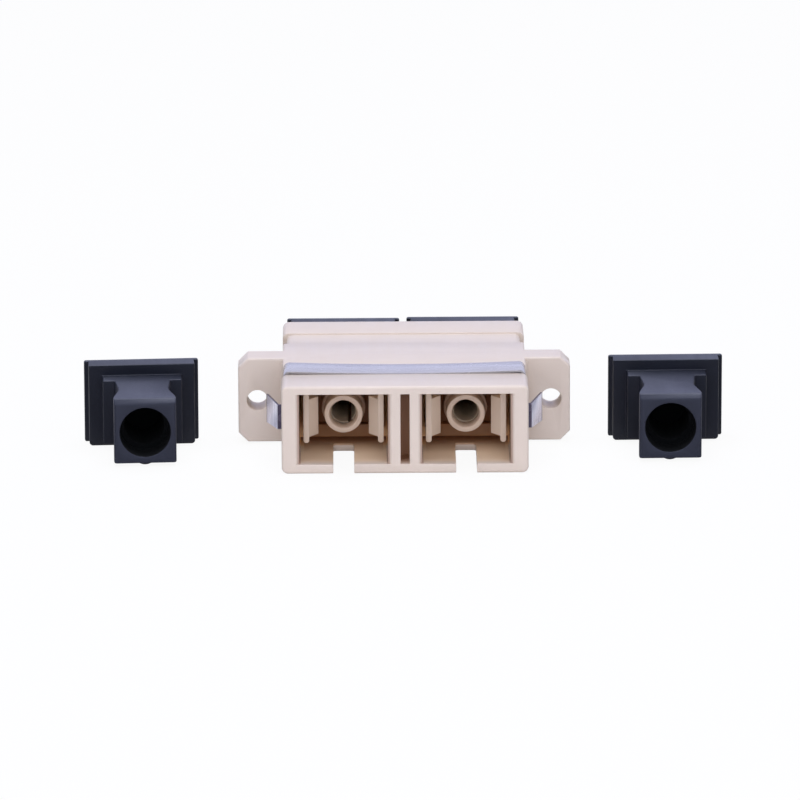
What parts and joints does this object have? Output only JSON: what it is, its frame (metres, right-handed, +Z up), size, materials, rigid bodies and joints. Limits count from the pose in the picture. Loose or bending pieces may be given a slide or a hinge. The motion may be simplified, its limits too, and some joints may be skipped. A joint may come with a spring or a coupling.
{
  "type": "duplex fibre adapter",
  "caption": "Flanged beige fibre adapter with side-by-side ports, hook-arm inserts round split sleeves, a spring steel panel clip, and black dust caps at the rear and beside it.",
  "frame": {"origin": "midway between the flange's screw holes, in the mating plane where the housing halves meet", "axes": "+X across the ports to the right as seen from the open front, +Y from the open front to the capped rear, +Z up"},
  "size_m": [0.0668, 0.0294, 0.0096],
  "materials": {
    "housing_plastic": "fine satin moulding",
    "insert_plastic": "fine satin moulding",
    "sleeve_metal": "drawn and tumbled",
    "clip_steel": "rolled strip",
    "cap_plastic": "fine matt moulding"
  },
  "bodies": {
    "adapter": {"front_housing": "housing_plastic", "rear_housing": "housing_plastic", "latch_insert_front_left": "insert_plastic", "latch_insert_front_right": "insert_plastic", "latch_insert_rear_left": "insert_plastic", "latch_insert_rear_right": "insert_plastic", "split_sleeve_left": "sleeve_metal", "split_sleeve_right": "sleeve_metal", "panel_clip": "clip_steel", "dust_cap_front_left": "cap_plastic", "dust_cap_front_right": "cap_plastic"},
    "rear_left_cap": {"dust_cap_rear_left": "cap_plastic"},
    "rear_right_cap": {"dust_cap_rear_right": "cap_plastic"}
  },
  "joints": [
    {"name": "rear_left_cap_pull", "type": "slide", "parent": "adapter", "child": "rear_left_cap", "axis": [0, 1, 0], "range_m": [0, 0.012], "deforming": ["latch_insert_rear_left"]},
    {"name": "rear_right_cap_pull", "type": "slide", "parent": "adapter", "child": "rear_right_cap", "axis": [0, 1, 0], "range_m": [0, 0.012], "deforming": ["latch_insert_rear_right"]}
  ]
}
